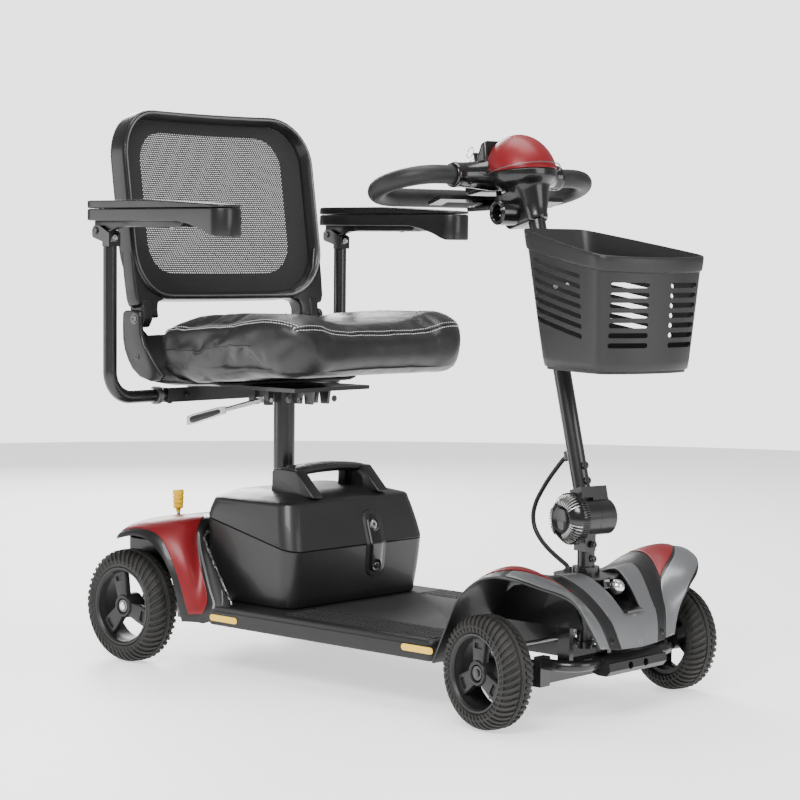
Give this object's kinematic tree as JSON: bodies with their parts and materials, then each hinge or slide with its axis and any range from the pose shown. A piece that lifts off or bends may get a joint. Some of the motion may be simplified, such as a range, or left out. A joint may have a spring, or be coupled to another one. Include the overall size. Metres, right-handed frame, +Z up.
{
  "type": "mobility scooter",
  "caption": "Compact travel mobility scooter with a steering tiller, padded swivel seat, front basket, lift-out battery box and flat foot deck.",
  "frame": {"origin": "centre of the bounding box's base, on the ground under the tires", "axes": "+X forward, +Y to the rider's left, +Z up"},
  "size_m": [1.1001, 0.64, 0.9776],
  "materials": {
    "frame_black": "gloss black powder coat",
    "deck_plastic": "fine grained moulded plastic",
    "mat_rubber": "studded rubber",
    "reflector": "prismatic yellow lens",
    "cover_black": "satin moulded plastic",
    "cover_silver": "metallic paint",
    "panel_red": "satin metallic red paint",
    "tread_rubber": "solid tire rubber",
    "rim_plastic": "moulded wheel plastic",
    "cast_metal": "as cast",
    "zinc": "zinc plated",
    "chrome_ball": "polished",
    "grip_foam": "soft grip",
    "cable_rubber": "rubber jacket",
    "vinyl": "soft vinyl with light stitching",
    "mesh_fabric": "open mesh",
    "lever_yellow": "moulded plastic",
    "battery_plastic": "satin moulded plastic"
  },
  "bodies": {
    "root": {"main_frame": "frame_black", "floor_pan": "deck_plastic", "foot_mat": "mat_rubber", "reflectors": "reflector", "nose_cover": "cover_black", "nose_panel": "cover_silver", "front_fender_right": "cover_silver", "front_fender_left": "cover_silver", "front_insert_right": "panel_red", "front_insert_left": "panel_red", "bumper_tube": "frame_black", "bumper_cover": "cover_black", "rear_shroud": "cover_black", "rear_panel_right": "panel_red", "rear_panel_left": "panel_red", "transaxle": "cast_metal", "drive_motor": "frame_black", "head_collar": "zinc"},
    "lock_knob": {"lock_knob": "chrome_ball"},
    "steering": {"steering_stem": "frame_black"},
    "knuckle_right": {"knuckle_right": "frame_black"},
    "knuckle_left": {"knuckle_left": "frame_black"},
    "tie_rod_right": {"tie_rod_right": "zinc"},
    "tie_rod_left": {"tie_rod_left": "zinc"},
    "front_wheel_right": {"front_tire_right": "tread_rubber", "front_rim_right": "rim_plastic"},
    "front_wheel_left": {"front_tire_left": "tread_rubber", "front_rim_left": "rim_plastic"},
    "rear_wheel_right": {"rear_tire_right": "tread_rubber", "rear_rim_right": "rim_plastic"},
    "rear_wheel_left": {"rear_tire_left": "tread_rubber", "rear_rim_left": "rim_plastic"},
    "tiller": {"tiller_tube": "frame_black", "tiller_cable": "cable_rubber", "hand_loop": "grip_foam", "control_head": "cover_black", "head_cover": "panel_red", "basket_bracket": "cover_black", "basket": "battery_plastic"},
    "tilt_knob": {"tilt_knob": "cover_black"},
    "throttle": {"throttle_lever": "cover_black"},
    "key": {"ignition_key": "cover_black"},
    "dial": {"speed_dial": "cover_black"},
    "horn": {"horn_button": "lever_yellow"},
    "battery": {"battery_tub": "battery_plastic", "battery_lid": "battery_plastic", "battery_handle": "battery_plastic"},
    "seat_post": {"seat_post": "frame_black"},
    "seat": {"seat_base": "frame_black", "seat_shell": "cover_black", "seat_cushion": "vinyl"},
    "swivel_lever": {"swivel_lever": "zinc"},
    "backrest": {"back_frame": "cover_black", "back_mesh": "mesh_fabric"},
    "arm_post_right": {"arm_post_right": "frame_black"},
    "arm_post_left": {"arm_post_left": "frame_black"},
    "armrest_right": {"armrest_right": "vinyl"},
    "armrest_left": {"armrest_left": "vinyl"},
    "freewheel": {"freewheel_lever": "lever_yellow"}
  },
  "joints": [
    {"name": "steer", "type": "hinge", "parent": "root", "child": "steering", "pos_m": [0.37494, 0, 0.2], "axis": [0, 0, 1], "range_deg": [-18, 42]},
    {"name": "kingpin_right", "type": "hinge", "parent": "root", "child": "knuckle_right", "pos_m": [0.37494, -0.205, 0.07], "axis": [0, 0, 1], "range_deg": [-18, 42]},
    {"name": "kingpin_left", "type": "hinge", "parent": "root", "child": "knuckle_left", "pos_m": [0.37494, 0.205, 0.07], "axis": [0, 0, 1], "range_deg": [-18, 42]},
    {"name": "rod_right", "type": "hinge", "parent": "steering", "child": "tie_rod_right", "pos_m": [0.34168, 0.00707, 0.114], "axis": [0, 0, 1], "range_deg": [-42, 18]},
    {"name": "rod_left", "type": "hinge", "parent": "steering", "child": "tie_rod_left", "pos_m": [0.34168, 0.00707, 0.123], "axis": [0, 0, 1], "range_deg": [-42, 18]},
    {"name": "front_roll_right", "type": "hinge", "parent": "knuckle_right", "child": "front_wheel_right", "pos_m": [0.3686, -0.23483, 0.0889], "axis": [0.2079, 0.9781, 0], "continuous": true},
    {"name": "front_roll_left", "type": "hinge", "parent": "knuckle_left", "child": "front_wheel_left", "pos_m": [0.38128, 0.23483, 0.0889], "axis": [0.2079, 0.9781, 0], "continuous": true},
    {"name": "rear_roll_right", "type": "hinge", "parent": "root", "child": "rear_wheel_right", "pos_m": [-0.45206, -0.2355, 0.1], "axis": [0, 1, 0], "continuous": true},
    {"name": "rear_roll_left", "type": "hinge", "parent": "root", "child": "rear_wheel_left", "pos_m": [-0.45206, 0.2355, 0.1], "axis": [0, 1, 0], "continuous": true},
    {"name": "tiller_tilt", "type": "hinge", "parent": "steering", "child": "tiller", "pos_m": [0.37494, 0, 0.308], "axis": [0.2079, 0.9781, 0], "range_deg": [-10, 16], "deforming": ["tiller_cable"]},
    {"name": "tilt_knob_turn", "type": "hinge", "parent": "steering", "child": "tilt_knob", "pos_m": [0.36662, -0.03913, 0.308], "axis": [0.2079, 0.9781, 0], "range_deg": [0, 180]},
    {"name": "throttle_swing", "type": "hinge", "parent": "tiller", "child": "throttle", "pos_m": [0.14497, 0.04888, 0.82315], "axis": [-0.2696, 0.0573, 0.9613], "range_deg": [-12, 12], "stiffness_Nm_per_rad": 1.2},
    {"name": "key_turn", "type": "hinge", "parent": "tiller", "child": "key", "pos_m": [0.12502, 0.02654, 0.8605], "axis": [-0.2696, 0.0573, 0.9613], "range_deg": [0, 90]},
    {"name": "dial_turn", "type": "hinge", "parent": "tiller", "child": "dial", "pos_m": [0.13043, 0.05197, 0.8605], "axis": [-0.2696, 0.0573, 0.9613], "range_deg": [-135, 135]},
    {"name": "horn_press", "type": "slide", "parent": "tiller", "child": "horn", "axis": [0.2696, -0.0573, -0.9613], "range_m": [0, 0.003], "stiffness_N_per_m": 300},
    {"name": "lock_pull", "type": "slide", "parent": "root", "child": "lock_knob", "axis": [1, 0, 0], "range_m": [0, 0.012], "stiffness_N_per_m": 400},
    {"name": "battery_lift", "type": "slide", "parent": "root", "child": "battery", "axis": [0, 0, 1], "range_m": [0, 0.09]},
    {"name": "seat_height", "type": "slide", "parent": "root", "child": "seat_post", "axis": [0, 0, 1], "range_m": [-0.05, 0.06]},
    {"name": "seat_swivel", "type": "hinge", "parent": "seat_post", "child": "seat", "pos_m": [-0.30856, 0, 0.47], "axis": [0, 0, 1], "range_deg": [-18, 30]},
    {"name": "swivel_lever_lift", "type": "hinge", "parent": "seat", "child": "swivel_lever", "pos_m": [-0.31356, -0.054, 0.464], "axis": [1, 0, 0], "range_deg": [-12, 0]},
    {"name": "back_fold", "type": "hinge", "parent": "seat", "child": "backrest", "pos_m": [-0.45156, 0, 0.606], "axis": [0, 1, 0], "range_deg": [0, 75]},
    {"name": "arm_width_right", "type": "slide", "parent": "seat", "child": "arm_post_right", "axis": [0, -1, 0], "range_m": [-0.015, 0.05]},
    {"name": "arm_width_left", "type": "slide", "parent": "seat", "child": "arm_post_left", "axis": [0, 1, 0], "range_m": [-0.015, 0.05]},
    {"name": "arm_flip_right", "type": "hinge", "parent": "arm_post_right", "child": "armrest_right", "pos_m": [-0.47156, -0.289, 0.76], "axis": [0, 1, 0], "range_deg": [-90, 0]},
    {"name": "arm_flip_left", "type": "hinge", "parent": "arm_post_left", "child": "armrest_left", "pos_m": [-0.47156, 0.289, 0.76], "axis": [0, 1, 0], "range_deg": [-90, 0]},
    {"name": "freewheel_shift", "type": "hinge", "parent": "root", "child": "freewheel", "pos_m": [-0.42456, -0.15, 0.222], "axis": [0, 1, 0], "range_deg": [-35, 0]}
  ],
  "couplings": [
    {"joint": "kingpin_right", "follows": "steer", "ratio": 1},
    {"joint": "kingpin_left", "follows": "steer", "ratio": 1},
    {"joint": "rod_right", "follows": "steer", "ratio": -1},
    {"joint": "rod_left", "follows": "steer", "ratio": -1}
  ]
}
